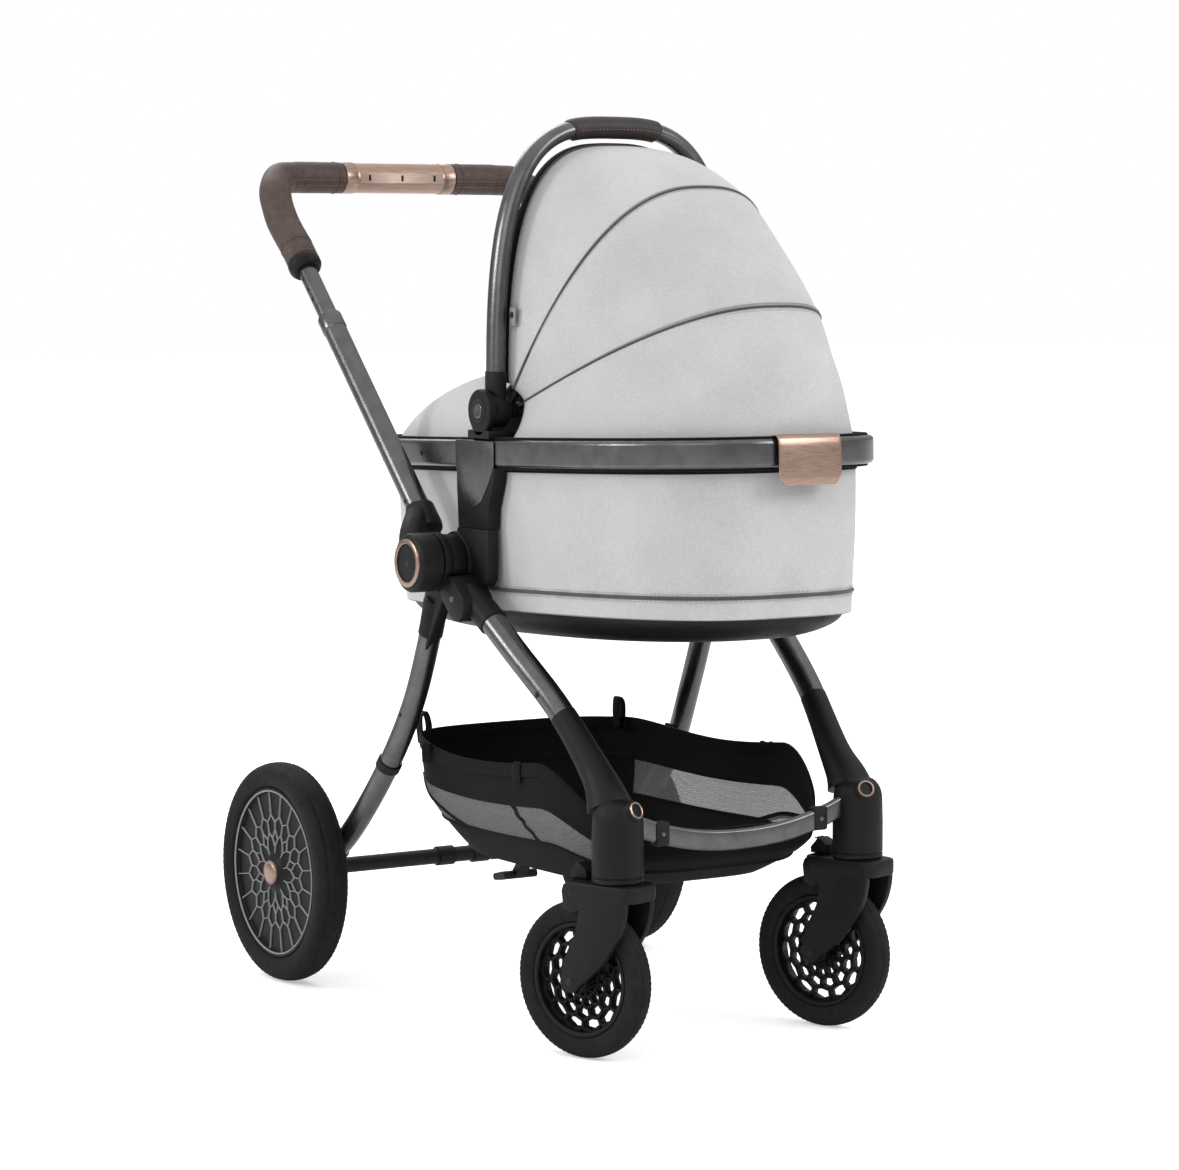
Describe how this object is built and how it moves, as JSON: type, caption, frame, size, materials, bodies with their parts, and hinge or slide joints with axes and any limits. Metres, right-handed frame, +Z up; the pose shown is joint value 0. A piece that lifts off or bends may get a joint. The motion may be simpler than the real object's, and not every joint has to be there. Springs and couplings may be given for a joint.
{
  "type": "baby stroller",
  "caption": "Folding four-wheel baby stroller chassis with swivelling front castors, telescoping push handle, underseat basket and a lift-off carrycot with folding hood.",
  "frame": {"origin": "on the ground, under the middle of the stroller's bounding box", "axes": "+Z up, -Y towards the front castors and the head end of the carrycot, +X towards the stroller's left side"},
  "size_m": [0.5804, 1.0039, 1.1318],
  "materials": {
    "gunmetal": "satin dark grey anodised",
    "black_plastic": "matte",
    "tyre_rubber": "matte",
    "bronze": "satin rose-bronze plating",
    "leatherette": "matte, stitched",
    "grey_fabric": "woven melange",
    "basket_fabric": "woven, with mesh windows"
  },
  "bodies": {
    "chassis": {"front_leg_left": "gunmetal", "front_leg_right": "gunmetal", "castor_head_left": "black_plastic", "castor_head_right": "black_plastic", "front_bow": "gunmetal", "hub_housing_left": "black_plastic", "hub_housing_right": "black_plastic", "basket": "basket_fabric"},
    "rear_frame": {"rear_leg_left": "gunmetal", "rear_leg_right": "gunmetal", "rear_axle_beam": "black_plastic"},
    "brake": {"brake_pedal": "black_plastic"},
    "push_frame": {"upper_tube_left": "gunmetal", "upper_tube_right": "gunmetal", "push_hub_left": "black_plastic", "push_hub_right": "black_plastic", "hub_ring_left": "bronze", "hub_ring_right": "bronze"},
    "handle": {"inner_tube_left": "gunmetal", "inner_tube_right": "gunmetal", "handle_knuckle_left": "black_plastic", "handle_knuckle_right": "black_plastic", "handle_grip_left": "leatherette", "handle_grip_right": "leatherette", "handle_center": "bronze"},
    "carrycot": {"cot_adapter_left": "black_plastic", "cot_adapter_right": "black_plastic", "cot_rail": "gunmetal", "cot_tub": "grey_fabric", "cot_base": "black_plastic", "mattress": "grey_fabric", "rail_tab": "bronze", "foot_apron": "grey_fabric", "arch_joint_left": "black_plastic", "arch_joint_right": "black_plastic", "canopy_front": "grey_fabric"},
    "hood_front": {"hood_rib_front": "black_plastic", "canopy_middle": "grey_fabric"},
    "hood_rear": {"hood_rib_rear": "black_plastic", "canopy_rear": "grey_fabric"},
    "arch": {"hood_arch": "gunmetal", "carry_grip": "leatherette"},
    "arch_button_left": {"arch_button_left": "gunmetal"},
    "rear_wheel_left": {"rear_tyre_left": "tyre_rubber", "rear_rim_left": "black_plastic", "rear_cap_left": "bronze"},
    "castor_left": {"castor_fork_left": "black_plastic"},
    "swivel_lock_left": {"swivel_lock_left": "black_plastic"},
    "front_wheel_left": {"front_tyre_left": "tyre_rubber", "front_rim_left": "black_plastic"},
    "arch_button_right": {"arch_button_right": "gunmetal"},
    "rear_wheel_right": {"rear_tyre_right": "tyre_rubber", "rear_rim_right": "black_plastic", "rear_cap_right": "bronze"},
    "castor_right": {"castor_fork_right": "black_plastic"},
    "swivel_lock_right": {"swivel_lock_right": "black_plastic"},
    "front_wheel_right": {"front_tyre_right": "tyre_rubber", "front_rim_right": "black_plastic"}
  },
  "joints": [
    {"name": "handle_fold", "type": "hinge", "parent": "chassis", "child": "push_frame", "pos_m": [0, -0.02, 0.578], "axis": [1, 0, 0], "range_deg": [0, 130]},
    {"name": "rear_fold", "type": "hinge", "parent": "chassis", "child": "rear_frame", "pos_m": [0, -0.02, 0.578], "axis": [-1, 0, 0], "range_deg": [0, 14.4]},
    {"name": "handle_height", "type": "slide", "parent": "push_frame", "child": "handle", "axis": [0, -0.6997, -0.7145], "range_m": [0, 0.07]},
    {"name": "brake_press", "type": "hinge", "parent": "rear_frame", "child": "brake", "pos_m": [0.12, 0.3175, 0.145], "axis": [-1, 0, 0], "range_deg": [0, 20]},
    {"name": "carrycot_lift", "type": "slide", "parent": "chassis", "child": "carrycot", "axis": [0, 0, 1], "range_m": [0, 0.25]},
    {"name": "hood_arch_fold", "type": "hinge", "parent": "hood_rear", "child": "arch", "pos_m": [0, -0.072, 0.767], "axis": [1, 0, 0], "range_deg": [0, 32], "deforming": ["canopy_rear"]},
    {"name": "hood_rear_fold", "type": "hinge", "parent": "hood_front", "child": "hood_rear", "pos_m": [0, -0.072, 0.767], "axis": [1, 0, 0], "range_deg": [0, 27], "deforming": ["canopy_middle"]},
    {"name": "hood_front_fold", "type": "hinge", "parent": "carrycot", "child": "hood_front", "pos_m": [0, -0.072, 0.767], "axis": [1, 0, 0], "range_deg": [0, 20], "deforming": ["canopy_front"]},
    {"name": "arch_button_press_left", "type": "slide", "parent": "carrycot", "child": "arch_button_left", "axis": [-1, 0, 0], "range_m": [0, 0.003], "stiffness_N_per_m": 400},
    {"name": "rear_wheel_roll_left", "type": "hinge", "parent": "rear_frame", "child": "rear_wheel_left", "pos_m": [0.2657, 0.3175, 0.145], "axis": [1, 0, 0], "continuous": true},
    {"name": "castor_swivel_left", "type": "hinge", "parent": "chassis", "child": "castor_left", "pos_m": [0.1768, -0.357, 0.2175], "axis": [0, 0, 1], "continuous": true},
    {"name": "front_wheel_roll_left", "type": "hinge", "parent": "castor_left", "child": "front_wheel_left", "pos_m": [0.16093, -0.30958, 0.0955], "axis": [0.9483, 0.3173, 0], "continuous": true},
    {"name": "swivel_lock_tip_left", "type": "hinge", "parent": "castor_left", "child": "swivel_lock_left", "pos_m": [0.15681, -0.29726, 0.2175], "axis": [-0.9483, -0.3173, 0], "range_deg": [0, 18]},
    {"name": "arch_button_press_right", "type": "slide", "parent": "carrycot", "child": "arch_button_right", "axis": [1, 0, 0], "range_m": [0, 0.003], "stiffness_N_per_m": 400},
    {"name": "rear_wheel_roll_right", "type": "hinge", "parent": "rear_frame", "child": "rear_wheel_right", "pos_m": [-0.2657, 0.3175, 0.145], "axis": [1, 0, 0], "continuous": true},
    {"name": "castor_swivel_right", "type": "hinge", "parent": "chassis", "child": "castor_right", "pos_m": [-0.1768, -0.357, 0.2175], "axis": [0, 0, 1], "continuous": true},
    {"name": "front_wheel_roll_right", "type": "hinge", "parent": "castor_right", "child": "front_wheel_right", "pos_m": [-0.19267, -0.30958, 0.0955], "axis": [0.9483, 0.3173, 0], "continuous": true},
    {"name": "swivel_lock_tip_right", "type": "hinge", "parent": "castor_right", "child": "swivel_lock_right", "pos_m": [-0.19679, -0.29726, 0.2175], "axis": [-0.9483, -0.3173, 0], "range_deg": [0, 18]}
  ],
  "couplings": [
    {"joint": "rear_fold", "follows": "handle_fold", "ratio": 0.11},
    {"joint": "hood_rear_fold", "follows": "hood_arch_fold", "ratio": 0.84},
    {"joint": "hood_front_fold", "follows": "hood_arch_fold", "ratio": 0.62}
  ]
}
